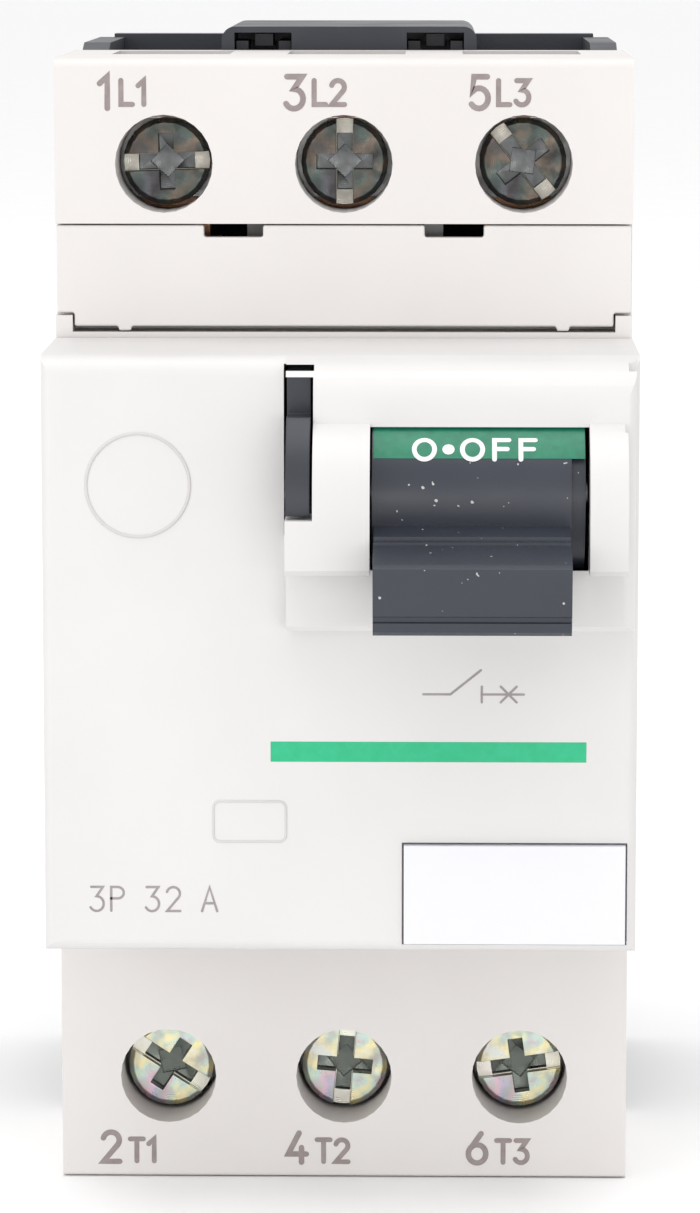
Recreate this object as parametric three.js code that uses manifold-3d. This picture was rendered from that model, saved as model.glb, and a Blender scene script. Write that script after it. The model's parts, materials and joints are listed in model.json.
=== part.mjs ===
// A three-pole motor protection breaker for a 35 mm rail: rocker operated, screw terminals above and below.
// Millimetres. X runs across the poles, -Y is the front, +Z is up.
// The origin is the centre of the face that rests on the rail.
import * as THREE from "three";
import { mergeVertices } from "three/addons/utils/BufferGeometryUtils.js";
import Module from "manifold-3d";

const wasm = await Module();
wasm.setup();

// ---------------------------------------------------------------- driving dimensions
const WALL = 1.5; // moulded wall thickness
const GAP = 0.15; // running clearance between pieces
const HALF_WIDTH = 22.5; // half of the 45 mm module width
const POLES = [-14, 0, 14]; // X of the three poles
const PARTITIONS = [-7, 7]; // X of the walls between the poles

// Depths, from the rail towards the front.
const REAR_FACE = 5;
const RAIL_SEAT = 0;
const BASE_FLOOR = RAIL_SEAT - WALL; // the face of the base that the pole parts look back at
const CASE_SPLIT = -22; // where the dark base meets the light housing
const TERMINAL_FACE = -45;
const COVER_FACE = -61;
const RAISED_FACE = -63; // the raised panel around the rocker
const CREST_FACE = -66.8; // the crest of the cheeks beside the rocker

// Heights.
const HOUSING_HALF_HEIGHT = 44.5;
const BASE_TOP = 45.3;
const RIDGE_TOP = 46.4;
const COVER_HALF_HEIGHT = 22.75; // the 45 mm window of a distribution panel
const RAIL_HALF = 17.6; // half of the channel for a 35 mm rail

// Terminals.
const SCREW_Z = 36.3;
const SCREW_WELL_RADIUS = 3.8;
const SCREW_HEAD_RADIUS = 3.42;
const SCREW_HEAD_FACE = TERMINAL_FACE + 4;
const SCREW_HEAD_HEIGHT = 2.5;
const SCREW_SHANK_RADIUS = 2;
const TAB_FRONT = -31.6; // the conductor that the screw's tip bears on
const PLATE = 1.5; // conductor thickness

// Rocker. Angles are counted upwards from straight forward.
const ROCKER_Y = -58.1;
const ROCKER_Z = 12.25;
const DRUM_RADIUS = 7;
const DRUM_X = [2.45, 17.3];
const ROCKER_TRAVEL = 55; // degrees from off to on
const SHAFT_RADIUS = 1.25;
const CRANK_RADIUS = 4.6;
const CRANK_ANGLE = 90 - ROCKER_TRAVEL / 2;
const CRANK_PIN_RADIUS = 0.8;
const YOKE_X = [9.3, 11.3];

// Contacts.
const CARRIER_FRONT = -28;
const CARRIER_REAR = -15.8;
const CARRIER_HALF_HEIGHT = 4.5;
const CONTACT_Z = 9.5;
const FIXED_FRONT = -10.75; // front face of the fixed conductors
const PAD = 1; // thickness of a silver contact pad
const BRIDGE = [-18.4, -17.1];

// Magnetic trip.
const COIL_Z = -20;
const COIL_Y = [-22, -9];
const TRIP_AXIS = [-34.5, -16.5]; // Y, Z
const LATCH_AXIS = [-42, -2]; // Y, Z

// ---------------------------------------------------------------- materials
const finish = (color, roughness, metalness = 0) => new THREE.MeshStandardMaterial({ color, roughness, metalness });
const COVER_WHITE = finish(0xe6e4e3, 0.5);
const HOUSING_IVORY = finish(0xe2dfdc, 0.55);
const LABEL_WHITE = finish(0xeaebf0, 0.4);
const BASE_GREY = finish(0x33373f, 0.55);
const ROCKER_GREY = finish(0x3b4049, 0.45);
const ZINC = finish(0x9a9c98, 0.35, 1);
const STEEL = finish(0xb4b6b8, 0.35, 1);
const SPRING_STEEL = finish(0x8c8f92, 0.3, 1);
const COPPER = finish(0xb87349, 0.35, 1);
const CARRIER_BROWN = finish(0x5a4638, 0.6);
const FIBRE = finish(0x9b8b74, 0.8);

// ---------------------------------------------------------------- shape helpers
const radians = THREE.MathUtils.degToRad;

// A closed geometry as a solid that can be joined and cut.
function solid(geometry) {
  const bare = geometry.index ? geometry.toNonIndexed() : geometry.clone();
  bare.deleteAttribute("normal");
  bare.deleteAttribute("uv");
  const merged = mergeVertices(bare, 1e-4);
  const vertProperties = merged.attributes.position.array;
  const corners = merged.index.array;
  const kept = [];
  for (let i = 0; i < corners.length; i += 3) {
    const [a, b, c] = corners.subarray(i, i + 3);
    if (a !== b && b !== c && c !== a) kept.push(a, b, c);
  }
  const triVerts = new Uint32Array(kept);
  return new wasm.Manifold(new wasm.Mesh({ numProp: 3, vertProperties, triVerts }));
}

function geometryOf(body) {
  const mesh = body.getMesh();
  const geometry = new THREE.BufferGeometry();
  geometry.setAttribute("position", new THREE.BufferAttribute(new Float32Array(mesh.vertProperties), 3));
  geometry.setIndex(new THREE.BufferAttribute(new Uint32Array(mesh.triVerts), 1));
  const flat = geometry.toNonIndexed();
  flat.computeVertexNormals();
  return flat;
}

const join = (...bodies) => bodies.reduce((whole, body) => whole.add(body));
const cut = (body, ...tools) => tools.reduce((rest, tool) => rest.subtract(tool), body);

// A block between two X, two Y and two Z planes.
function block([x0, x1], [y0, y1], [z0, z1]) {
  const geometry = new THREE.BoxGeometry(x1 - x0, y1 - y0, z1 - z0);
  geometry.translate((x0 + x1) / 2, (y0 + y1) / 2, (z0 + z1) / 2);
  return solid(geometry);
}

// Round bars along each axis, between two planes.
function barX(radius, [x0, x1], y, z, segments = 24) {
  const geometry = new THREE.CylinderGeometry(radius, radius, x1 - x0, segments);
  geometry.rotateZ(Math.PI / 2).translate((x0 + x1) / 2, y, z);
  return solid(geometry);
}
function barY(radius, [y0, y1], x, z, segments = 24) {
  const geometry = new THREE.CylinderGeometry(radius, radius, y1 - y0, segments);
  return solid(geometry.translate(x, (y0 + y1) / 2, z));
}

// An outline of [y, z] points, or a THREE.Shape in those axes, made solid between two X planes.
function profileX(outline, [x0, x1], curveSegments = 12) {
  const isShape = outline instanceof THREE.Shape;
  const shape = isShape ? outline : new THREE.Shape(outline.map(([y, z]) => new THREE.Vector2(y, z)));
  const geometry = new THREE.ExtrudeGeometry(shape, { depth: x1 - x0, bevelEnabled: false, curveSegments });
  const axes = new THREE.Matrix4().set(0, 0, 1, x0, 1, 0, 0, 0, 0, 1, 0, 0, 0, 0, 0, 1);
  return solid(geometry.applyMatrix4(axes));
}

// A rounded rectangle in X and Z, made solid between two Y planes.
function panelY([x0, x1], [z0, z1], radius, [y0, y1]) {
  const shape = new THREE.Shape();
  shape.moveTo(x0 + radius, z0);
  shape.lineTo(x1 - radius, z0);
  shape.absarc(x1 - radius, z0 + radius, radius, -Math.PI / 2, 0);
  shape.lineTo(x1, z1 - radius);
  shape.absarc(x1 - radius, z1 - radius, radius, 0, Math.PI / 2);
  shape.lineTo(x0 + radius, z1);
  shape.absarc(x0 + radius, z1 - radius, radius, Math.PI / 2, Math.PI);
  shape.lineTo(x0, z0 + radius);
  shape.absarc(x0 + radius, z0 + radius, radius, Math.PI, Math.PI * 1.5);
  const geometry = new THREE.ExtrudeGeometry(shape, { depth: y1 - y0, bevelEnabled: false, curveSegments: 5 });
  return solid(geometry.rotateX(Math.PI / 2).translate(0, y1, 0));
}

// A point at a radius and an angle about the rocker's axis.
function rockerPoint(radius, degrees) {
  const angle = radians(degrees);
  return [ROCKER_Y - radius * Math.cos(angle), ROCKER_Z + radius * Math.sin(angle)];
}

function rockerArc(radius, from, to, steps) {
  return Array.from({ length: steps + 1 }, (_, i) => rockerPoint(radius, from + ((to - from) * i) / steps));
}

class Helix extends THREE.Curve {
  constructor(radius, length, turns) {
    super();
    Object.assign(this, { radius, length, turns });
  }
  getPoint(t, target = new THREE.Vector3()) {
    const angle = 2 * Math.PI * this.turns * t;
    return target.set(this.radius * Math.cos(angle), this.radius * Math.sin(angle), this.length * t);
  }
}

// A compression spring along +Z from the origin.
function springGeometry(radius, wire, length, turns) {
  const section = new THREE.Shape();
  section.absarc(0, 0, wire, 0, 2 * Math.PI);
  const extrudePath = new Helix(radius, length, turns);
  const steps = Math.round(turns * 8);
  return new THREE.ExtrudeGeometry(section, { steps, extrudePath, curveSegments: 2, bevelEnabled: false });
}

// Rounds the top and bottom front edges of a shell's outline, drawn in Y and Z.
function shellOutline(front, back, halfHeight, topRadius, bottomRadius) {
  const shape = new THREE.Shape();
  shape.moveTo(back, -halfHeight);
  shape.lineTo(back, halfHeight);
  shape.lineTo(front + topRadius, halfHeight);
  shape.absarc(front + topRadius, halfHeight - topRadius, topRadius, Math.PI / 2, Math.PI);
  shape.lineTo(front, -halfHeight + bottomRadius);
  shape.absarc(front + bottomRadius, -halfHeight + bottomRadius, bottomRadius, Math.PI, Math.PI * 1.5);
  return shape;
}

// ---------------------------------------------------------------- the assembly
const breaker = new THREE.Group();

function add(name, shape, material) {
  const geometry = shape.isBufferGeometry ? shape : geometryOf(shape);
  const mesh = new THREE.Mesh(geometry, material);
  mesh.name = name;
  breaker.add(mesh);
  return mesh;
}

// ---------------------------------------------------------------- casings
const CASE_SCREWS = [[-7, -24], [7, -24], [-7, 24], [7, 24]]; // X, Z
const BOSS_RADIUS = 2.2;
const CLIP_HALF_WIDTH = 4.2;
const CLIP_Y = [1.35, 3.65];
const CLIP_LUG_Z = [-37.4, -36.2];
const RIDGE_HALF = 10.5;
const RIDGE_SOCKET_X = 7.1;
const RIDGE_FRONT = CASE_SPLIT + 0.8;

function poleChambers(yRange, zRange) {
  const edges = [-HALF_WIDTH + WALL, ...PARTITIONS, HALF_WIDTH - WALL];
  const half = WALL / 2;
  const chambers = [0, 1, 2].map((i) => {
    const left = edges[i] + (i > 0 ? half : 0);
    const right = edges[i + 1] - (i < 2 ? half : 0);
    return block([left, right], yRange, zRange);
  });
  return join(...chambers);
}

const caseBosses = (yRange) => join(...CASE_SCREWS.map(([x, z]) => barY(BOSS_RADIUS, yRange, x, z, 12)));

// Cuts the walls between the poles where the contact carrier crosses them.
const carrierWindow = (yRange) => block([-10, 10], yRange, [-CARRIER_HALF_HEIGHT - 0.5, CARRIER_HALF_HEIGHT + 0.5]);

// The raised top ridge, with two sockets that each hold a three-pronged catch for an add-on block.
function topRidge() {
  const floor = HOUSING_HALF_HEIGHT - 0.9;
  let ridge = ridgeBody();
  for (const side of [-1, 1]) {
    const x = side * RIDGE_SOCKET_X;
    const pocket = block([x - 2.35, x + 2.35], [RIDGE_FRONT - 1, RIDGE_FRONT + 7], [floor, RIDGE_TOP - 0.5]);
    const prongs = [-1.75, 1.75].map((dx) =>
      block([x + dx - 0.5, x + dx + 0.5], [RIDGE_FRONT + 1.5, RIDGE_FRONT + 7.1], [floor - 0.1, 45.2]),
    );
    const middle = block([x - 0.75, x + 0.75], [RIDGE_FRONT + 3, RIDGE_FRONT + 7.1], [44.75, 45.75]);
    ridge = join(cut(ridge, pocket), ...prongs, middle);
  }
  return ridge;
}

// The ridge before its sockets are cut, with rounded upper corners.
function ridgeBody() {
  const shape = new THREE.Shape();
  const radius = 1.1;
  shape.moveTo(-RIDGE_HALF, 42.5);
  shape.lineTo(RIDGE_HALF, 42.5);
  shape.lineTo(RIDGE_HALF, RIDGE_TOP - radius);
  shape.absarc(RIDGE_HALF - radius, RIDGE_TOP - radius, radius, 0, Math.PI / 2);
  shape.lineTo(-RIDGE_HALF + radius, RIDGE_TOP);
  shape.absarc(-RIDGE_HALF + radius, RIDGE_TOP - radius, radius, Math.PI / 2, Math.PI);
  const depth = REAR_FACE - 1 - RIDGE_FRONT;
  const geometry = new THREE.ExtrudeGeometry(shape, { depth, bevelEnabled: false, curveSegments: 5 });
  return solid(geometry.rotateX(Math.PI / 2).translate(0, REAR_FACE - 1, 0));
}

// Dark rear moulding: the rail channel, its fixed hooks, and the back half of each pole chamber.
function rearBase() {
  const half = HALF_WIDTH - 0.2;
  const inner = HOUSING_HALF_HEIGHT - WALL;
  const top = HOUSING_HALF_HEIGHT - 1.2;
  let base = join(
    block([-half, half], [CASE_SPLIT + 0.1, REAR_FACE], [-HOUSING_HALF_HEIGHT, top]),
    block([-half + 1.5, half - 1.5], [1.2, REAR_FACE - 1], [top - 1, BASE_TOP]),
    topRidge(),
  );
  const endBrackets = [-1, 1].map((side) => {
    const outline = [[-20, top - 1], [-20, 44.3], [-17.5, 45], [2, 45], [2, top - 1]];
    return profileX(outline, [side * 21 - 1.1, side * 21 + 1.1]);
  });
  base = join(base, ...endBrackets);
  const channel = join(
    block([-half - 1, half + 1], [RAIL_SEAT, REAR_FACE + 1], [-RAIL_HALF, RAIL_HALF]),
    ...[-1, 1].map((side) => {
      const z = [side * RAIL_HALF, side * (RAIL_HALF - 1.7)].sort((a, b) => a - b);
      return block([-half - 1, half + 1], [RAIL_SEAT - 0.35, REAR_FACE], z);
    }),
  );
  const chambers = poleChambers([CASE_SPLIT - 1, BASE_FLOOR], [-inner, top - WALL]);
  const feet = [[-inner, -RAIL_HALF - 2], [RAIL_HALF + 2, top - WALL]].map((z) => {
    const deep = z[0] > 0 ? REAR_FACE - WALL : CLIP_Y[0] - WALL - GAP;
    return poleChambers([CASE_SPLIT - 1, deep], z);
  });
  base = cut(base, channel, chambers, ...feet);
  const root = RAIL_HALF + 0.5;
  const hookOutline = [[1.3, root], [1.3, RAIL_HALF - 1.5], [2.2, RAIL_HALF - 1.5], [3.6, RAIL_HALF], [3.6, root]];
  const hooks = [-14, 14].map((x) => profileX(hookOutline, [x - 4, x + 4]));
  base = join(base, ...hooks, caseBosses([CASE_SPLIT + 0.1, REAR_FACE - 2.4]));
  const clipGroove = join(
    block([-CLIP_HALF_WIDTH - GAP, CLIP_HALF_WIDTH + GAP], [CLIP_Y[0] - GAP, CLIP_Y[1] + GAP], [-50, -RAIL_HALF + 1]),
    block([-CLIP_HALF_WIDTH + 1.2, CLIP_HALF_WIDTH - 1.2], [CLIP_Y[0], REAR_FACE + 1], [-50, -RAIL_HALF + 1]),
  );
  const lug = block([-1.6, 1.6], [CLIP_Y[0] - 2 * GAP, CLIP_Y[1]], CLIP_LUG_Z);
  const screwHoles = CASE_SCREWS.flatMap(([x, z]) => [
    barY(1.35, [CASE_SPLIT - 1, REAR_FACE + 1], x, z, 12),
    barY(2.25, [REAR_FACE - 2, REAR_FACE + 1], x, z, 20),
  ]);
  base = cut(base, clipGroove, ...screwHoles, carrierWindow([CASE_SPLIT - 1, FIXED_FRONT - 0.5]));
  return join(base, lug);
}

// The upper front recess that takes an auxiliary contact block, closed by the accessory cover.
const RECESS_X = 22;
const RECESS_Z = [23.2, 31.65];
const RECESS_DEPTH = 3.6;

// Light front moulding: terminal wells, wire entries and the front half of each pole chamber.
function housing() {
  const inner = HOUSING_HALF_HEIGHT - WALL;
  const side = HALF_WIDTH - WALL;
  const outline = shellOutline(TERMINAL_FACE, CASE_SPLIT - 0.1, HOUSING_HALF_HEIGHT, 0.8, 0.3);
  let shell = profileX(outline, [-HALF_WIDTH, HALF_WIDTH], 5);
  shell = cut(
    shell,
    poleChambers([TERMINAL_FACE + WALL, CASE_SPLIT + 1], [-inner, inner]),
    block([-side, side], [TERMINAL_FACE - 1, TERMINAL_FACE + 6], [-21.4, 21.4]),
  );
  const recessZ = [RECESS_Z[0] - 0.9, RECESS_Z[1] + 0.4];
  const recessWall = block([-side - 0.5, side + 0.5], [TERMINAL_FACE, TERMINAL_FACE + RECESS_DEPTH + 1.2], recessZ);
  const wells = POLES.flatMap((x) => [1, -1].map((row) => ({ x, z: row * SCREW_Z })));
  const wellWalls = wells.map(({ x, z }) =>
    barY(SCREW_WELL_RADIUS + 1.2, [TERMINAL_FACE + 0.2, SCREW_HEAD_FACE + SCREW_HEAD_HEIGHT + 0.3], x, z, 16),
  );
  shell = join(shell, recessWall, ...wellWalls, caseBosses([-34.5, CASE_SPLIT - 0.1]));
  const recess = join(
    block([-RECESS_X + 0.8, RECESS_X - 0.8], [TERMINAL_FACE - 1, TERMINAL_FACE + RECESS_DEPTH], RECESS_Z),
    block([-HALF_WIDTH - 1, HALF_WIDTH + 1], [TERMINAL_FACE - 1, TERMINAL_FACE + 1.6], [RECESS_Z[0] + 1.3, RECESS_Z[1]]),
  );
  const actuatorSlots = [-1, 1].map((s) =>
    block([s * 8.6 - 2.9, s * 8.6 + 2.9], [TERMINAL_FACE, TERMINAL_FACE + 6], [27.6, RECESS_Z[1]]),
  );
  const wellHoles = wells.map(({ x, z }) => barY(SCREW_WELL_RADIUS, [TERMINAL_FACE - 1, -37], x, z, 28));
  const wireEntries = wells.map(({ x, z }) => {
    const end = Math.sign(z) * HOUSING_HALF_HEIGHT;
    return block([x - 4.7, x + 4.7], [-34.6, -24], [end - 3, end + 3]);
  });
  const pilotHoles = CASE_SCREWS.map(([x, z]) => barY(1.2, [-33.5, CASE_SPLIT + 1], x, z, 12));
  const [tripY, tripZ] = TRIP_AXIS;
  const tripBearing = [
    barX(1.65, [-10, 10], tripY, tripZ, 16),
    block([-10, 10], [tripY, CASE_SPLIT + 1], [tripZ - 1.65, tripZ + 1.65]),
  ];
  return cut(
    shell,
    recess,
    ...actuatorSlots,
    ...wellHoles,
    ...wireEntries,
    ...pilotHoles,
    ...tripBearing,
    carrierWindow([CARRIER_FRONT - 1, CASE_SPLIT + 1]),
  );
}

// ---------------------------------------------------------------- front cover
const PANEL_LEFT = -4; // the raised panel's left edge
const PANEL_BOTTOM = 2.2;
const OPENING_X = [2.3, 18.65];
const OPENING_Z = [7.4, 16.75];
const CHEEK_Z = [6.9, 17.9];
const CHEEK_RIGHT = 21.5;
const LEVER_SLOT_X = [-4.15, -1.95];
const LEVER_SLOT_Z = [11, 21.3];
const MARKER_X = [4.85, 21.65];
const MARKER_Z = [-22, -14.4];
const MARKER_PEG_X = [8.2, 18.2];

// The raised panel's outline: it swells out of the cover's top edge and ends in a square step at the bottom.
function panelOutline(front, back, bottom) {
  const top = COVER_HALF_HEIGHT;
  const shape = new THREE.Shape();
  shape.moveTo(back, bottom);
  shape.lineTo(back, top);
  shape.lineTo(COVER_FACE + 1.8, top);
  shape.quadraticCurveTo(front, top - 0.4, front, top - 3.4);
  shape.lineTo(front, bottom + 0.4);
  shape.lineTo(front + 0.4, bottom);
  return shape;
}

// A cheek beside the rocker: a hump that is round above and square below.
function cheekOutline(thickness) {
  const shape = new THREE.Shape();
  const back = RAISED_FACE + 2;
  const front = CREST_FACE + thickness;
  shape.moveTo(back, CHEEK_Z[0] + thickness);
  shape.lineTo(back, CHEEK_Z[1] - thickness);
  shape.lineTo(RAISED_FACE, CHEEK_Z[1] - thickness);
  shape.quadraticCurveTo(front, CHEEK_Z[1] - 1.6 - thickness, front, CHEEK_Z[1] - 7.2);
  shape.lineTo(front, CHEEK_Z[0] + thickness + 0.4);
  shape.lineTo(front + 0.4, CHEEK_Z[0] + thickness);
  return shape;
}

// White front moulding: the face of the device, the raised panel, and the ribs that carry the rocker's shaft.
function frontCover() {
  const back = TERMINAL_FACE - 0.2;
  let cover = join(
    profileX(shellOutline(COVER_FACE, back, COVER_HALF_HEIGHT, 1.6, 1), [-HALF_WIDTH, HALF_WIDTH], 6),
    profileX(panelOutline(RAISED_FACE, COVER_FACE + 3, PANEL_BOTTOM), [PANEL_LEFT, HALF_WIDTH - 0.3], 8),
  );
  cover = cut(
    cover,
    block(
      [-HALF_WIDTH + WALL, HALF_WIDTH - WALL],
      [COVER_FACE + WALL, back + 1],
      [-COVER_HALF_HEIGHT + WALL, COVER_HALF_HEIGHT - WALL],
    ),
    block([PANEL_LEFT + WALL, HALF_WIDTH - 0.3 - WALL], [RAISED_FACE + WALL, back], [PANEL_BOTTOM + WALL, 20.4]),
  );
  const cheeks = [
    profileX(cheekOutline(0), [LEVER_SLOT_X[1], OPENING_X[0]], 8),
    profileX(cheekOutline(0), [OPENING_X[1], CHEEK_RIGHT], 8),
    cut(
      profileX(cheekOutline(0), [PANEL_LEFT, LEVER_SLOT_X[1] + 0.1], 8),
      block([-6, 0], [-70, -60], [LEVER_SLOT_Z[0], 20]),
    ),
  ];
  const ribs = [
    [0.7, OPENING_X[0]],
    [OPENING_X[1], 20.2],
  ].map((x) => block(x, [COVER_FACE - 1, -53.6], [6, 19.6]));
  const markerPad = block([MARKER_X[0] - 1, HALF_WIDTH - 1], [COVER_FACE + 1, COVER_FACE + 2.4], [-22, -13.2]);
  cover = join(cover, ...cheeks, ...ribs, markerPad);
  const hollowCheek = profileX(cheekOutline(1.2), [LEVER_SLOT_X[1] + 1.1, OPENING_X[0] - 1.1], 8);
  const openings = [
    block(OPENING_X, [-70, COVER_FACE + 3], OPENING_Z),
    block(LEVER_SLOT_X, [-70, COVER_FACE + 3], LEVER_SLOT_Z),
    block([LEVER_SLOT_X[0] - 0.05, LEVER_SLOT_X[1] + 0.05], [RAISED_FACE + 1, -48], [ROCKER_Z - 3, 22.15]),
    block([MARKER_X[0] - 0.15, MARKER_X[1] + 0.15], [COVER_FACE - 1, COVER_FACE + 0.8], [MARKER_Z[0] - 0.15, MARKER_Z[1] + 0.15]),
    ...MARKER_PEG_X.map((x) => block([x - 1, x + 1], [COVER_FACE, COVER_FACE + 4], [-19.2, -17.2])),
    barX(SHAFT_RADIUS + GAP, [-6, 21], ROCKER_Y, ROCKER_Z, 16),
    barX(DRUM_RADIUS + 0.3, OPENING_X, ROCKER_Y, ROCKER_Z, 48),
  ];
  return cut(cover, hollowCheek, ...openings, ...roundedSides());
}

// What to cut away so that the cover's upright front edges are round.
function roundedSides() {
  const radius = 0.9;
  const edges = [[-1, -HALF_WIDTH, COVER_FACE], [1, HALF_WIDTH, COVER_FACE], [1, HALF_WIDTH - 0.3, RAISED_FACE]];
  return edges.map(([side, x, y]) => {
    const inner = x - side * radius;
    const corner = block([Math.min(inner, x + side), Math.max(inner, x + side)], [y - 1, y + radius], [-30, 30]);
    const bar = new THREE.CylinderGeometry(radius, radius, 80, 32);
    return cut(corner, solid(bar.rotateX(Math.PI / 2).translate(inner, y + radius, 0)));
  });
}

// The blanking strip over the auxiliary contact recess: two screwdriver notches above, spring legs behind.
function accessoryCover() {
  const face = TERMINAL_FACE + 0.05;
  const plate = [face, face + 1.3];
  const z = [RECESS_Z[0] + 0.45, RECESS_Z[1] - 0.12];
  const strip = block([-HALF_WIDTH + 0.1, HALF_WIDTH - 0.1], plate, z);
  const legs = [-18, -5, 5, 18].map((x) => block([x - 1.1, x + 1.1], [face + 1, face + 3.2], [25, 25.9]));
  const stops = [-17.1, 17.1].map((x) => block([x - 0.5, x + 0.5], plate, [RECESS_Z[0] + 0.1, z[0] + 0.1]));
  const notches = [-8.6, 8.6].map((x) => block([x - 2.3, x + 2.3], [face - 1, face + 2], [30.6, 32]));
  const corners = [-1, 1].map((s) => {
    const x = s * HALF_WIDTH;
    return block([x - 1.45, x + 1.45], [face - 1, face + 2], [z[0] - 1, RECESS_Z[0] + 1.5]);
  });
  return cut(join(strip, ...legs, ...stops), ...notches, ...corners);
}

// The clip-on marker plate at the lower right.
function markerPlate() {
  const plate = block(MARKER_X, [COVER_FACE - 0.55, COVER_FACE + 0.65], MARKER_Z);
  const pegs = MARKER_PEG_X.map((x) => block([x - 0.8, x + 0.8], [COVER_FACE, COVER_FACE + 2.9], [-19, -17.4]));
  return join(plate, ...pegs);
}

// ---------------------------------------------------------------- rocker and its linkage
const [CRANK_Y, CRANK_Z] = rockerPoint(CRANK_RADIUS, CRANK_ANGLE);

// The lever's outline in Y and Z: a ribbed upper face, a scooped front, and a lip.
const LEVER_OUTLINE = [
  rockerPoint(4, -19),
  rockerPoint(DRUM_RADIUS, -15),
  [-66.7, 9.85],
  [-66.8, 9.35],
  [-67.1, 9.25],
  [-67.25, 9.62],
  [-67.6, 9.52],
  [-67.7, 9.1],
  [-68.0, 9.0],
  [-68.2, 9.38],
  [-72, 8.55],
  [-72.5, 8.2],
  [-72.3, 6.4],
  [-72, 4.65],
  [-71.65, 4.55],
  [-71.6, 4.2],
  [-71.75, 4.1],
  [-71.45, 3.4],
  [-71, 3.1],
  [-70, 3.4],
  [-64.3, 5.6],
  [-64.05, 8],
  rockerPoint(4, -40),
];

// The drum and lever, slotted behind for the drive yoke.
function rocker() {
  const drum = barX(DRUM_RADIUS, DRUM_X, ROCKER_Y, ROCKER_Z, 44);
  const shoulder = barX(DRUM_RADIUS - 0.45, [DRUM_X[1] - 1, OPENING_X[1] - 0.3], ROCKER_Y, ROCKER_Z, 44);
  const lever = profileX(LEVER_OUTLINE, [DRUM_X[0] + 0.15, DRUM_X[1] - 0.1]);
  const slotX = [YOKE_X[0] - 0.4, YOKE_X[1] + 0.4];
  const wedge = profileX([[ROCKER_Y, ROCKER_Z], rockerPoint(14, 60), rockerPoint(16, 120), rockerPoint(14, 180)], slotX);
  const aroundPin = barX(2.9, slotX, CRANK_Y, CRANK_Z, 20);
  const hub = barX(2.1, slotX, ROCKER_Y, ROCKER_Z, 16);
  const slotted = cut(join(drum, shoulder, lever), cut(join(wedge, aroundPin), hub));
  return cut(
    slotted,
    barX(SHAFT_RADIUS + 0.05, [0, 20], ROCKER_Y, ROCKER_Z, 16),
    barX(CRANK_PIN_RADIUS + 0.05, [YOKE_X[0] - 2.2, YOKE_X[1] + 2.2], CRANK_Y, CRANK_Z, 16),
  );
}

// The lever in the narrow slot: a round finger in front, and an arm above it, keyed on the rocker's shaft.
function sideLever() {
  const finger = rockerArc(8, -7, 50, 16);
  const arm = [[-61.2, 18.4], ...rockerArc(9.65, 69, 100, 6)];
  const hub = [120, 160, 200, 240, 280, 320, 353].map((angle) => rockerPoint(3, angle));
  const body = profileX([...finger, ...arm, ...hub], [LEVER_SLOT_X[0] + 0.2, LEVER_SLOT_X[1] - 0.2]);
  return cut(body, barX(SHAFT_RADIUS + 0.05, [-6, 0], ROCKER_Y, ROCKER_Z, 16));
}

// A steel plate that turns the crank pin's swing into the carrier's slide: the pin runs in its upright slot.
function driveYoke() {
  const back = CARRIER_FRONT - 0.1;
  const outline = [
    [CRANK_Y - 1.5, 14.6],
    [-46, 14.6],
    [-38, 4],
    [-34, -3],
    [back, -3],
    [back, 3],
    [-32, 6],
    [-42, 18.4],
    [CRANK_Y - 1.5, 18.4],
  ];
  const slotHalf = CRANK_PIN_RADIUS + 0.12;
  const slot = block([0, 20], [CRANK_Y - slotHalf, CRANK_Y + slotHalf], [CRANK_Z - 1.05, CRANK_Z + 1.5]);
  return cut(profileX(outline, YOKE_X), slot);
}

// The moulded bar that carries the moving contacts of all three poles.
function contactCarrier() {
  const z = [-CARRIER_HALF_HEIGHT, CARRIER_HALF_HEIGHT];
  const bar = block([-19.5, 19.5], [CARRIER_FRONT, CARRIER_REAR], z);
  const windows = POLES.map((x) => block([x - 3.4, x + 3.4], [-25.6, BRIDGE[1] + 0.2], [z[0] - 1, z[1] + 1]));
  return cut(bar, ...windows);
}

function contactBridge(x) {
  const plate = block([x - 3, x + 3], BRIDGE, [-CONTACT_Z - 1.8, CONTACT_Z + 1.8]);
  const pads = [-1, 1].map((s) =>
    block([x - 2, x + 2], [BRIDGE[1] - 0.1, BRIDGE[1] + PAD], [s * CONTACT_Z - 1.6, s * CONTACT_Z + 1.6]),
  );
  return join(plate, ...pads);
}

// ---------------------------------------------------------------- conductors, arc chutes and magnetic trip
const HALF_BAR = 3; // half width of a conductor

// From the upper terminal's tab, back and down to the upper fixed contact.
function lineBusbar(x) {
  const bar = profileX(
    [
      [TAB_FRONT, 41],
      [TAB_FRONT, 27],
      [FIXED_FRONT, 27],
      [FIXED_FRONT, CONTACT_Z - 2.6],
      [FIXED_FRONT + PLATE, CONTACT_Z - 2.6],
      [FIXED_FRONT + PLATE, 27 + PLATE],
      [TAB_FRONT + PLATE, 27 + PLATE],
      [TAB_FRONT + PLATE, 41],
    ],
    [x - HALF_BAR, x + HALF_BAR],
  );
  const pad = block([x - 2, x + 2], [FIXED_FRONT - PAD, FIXED_FRONT + 0.1], [CONTACT_Z - 1.6, CONTACT_Z + 1.6]);
  return join(bar, pad);
}

function fixedContact(x) {
  const plate = block([x - HALF_BAR, x + HALF_BAR], [FIXED_FRONT, FIXED_FRONT + PLATE], [-14.4, -CONTACT_Z + 2.6]);
  const pad = block([x - 2, x + 2], [FIXED_FRONT - PAD, FIXED_FRONT + 0.1], [-CONTACT_Z - 1.6, -CONTACT_Z + 1.6]);
  return join(plate, pad);
}

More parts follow.
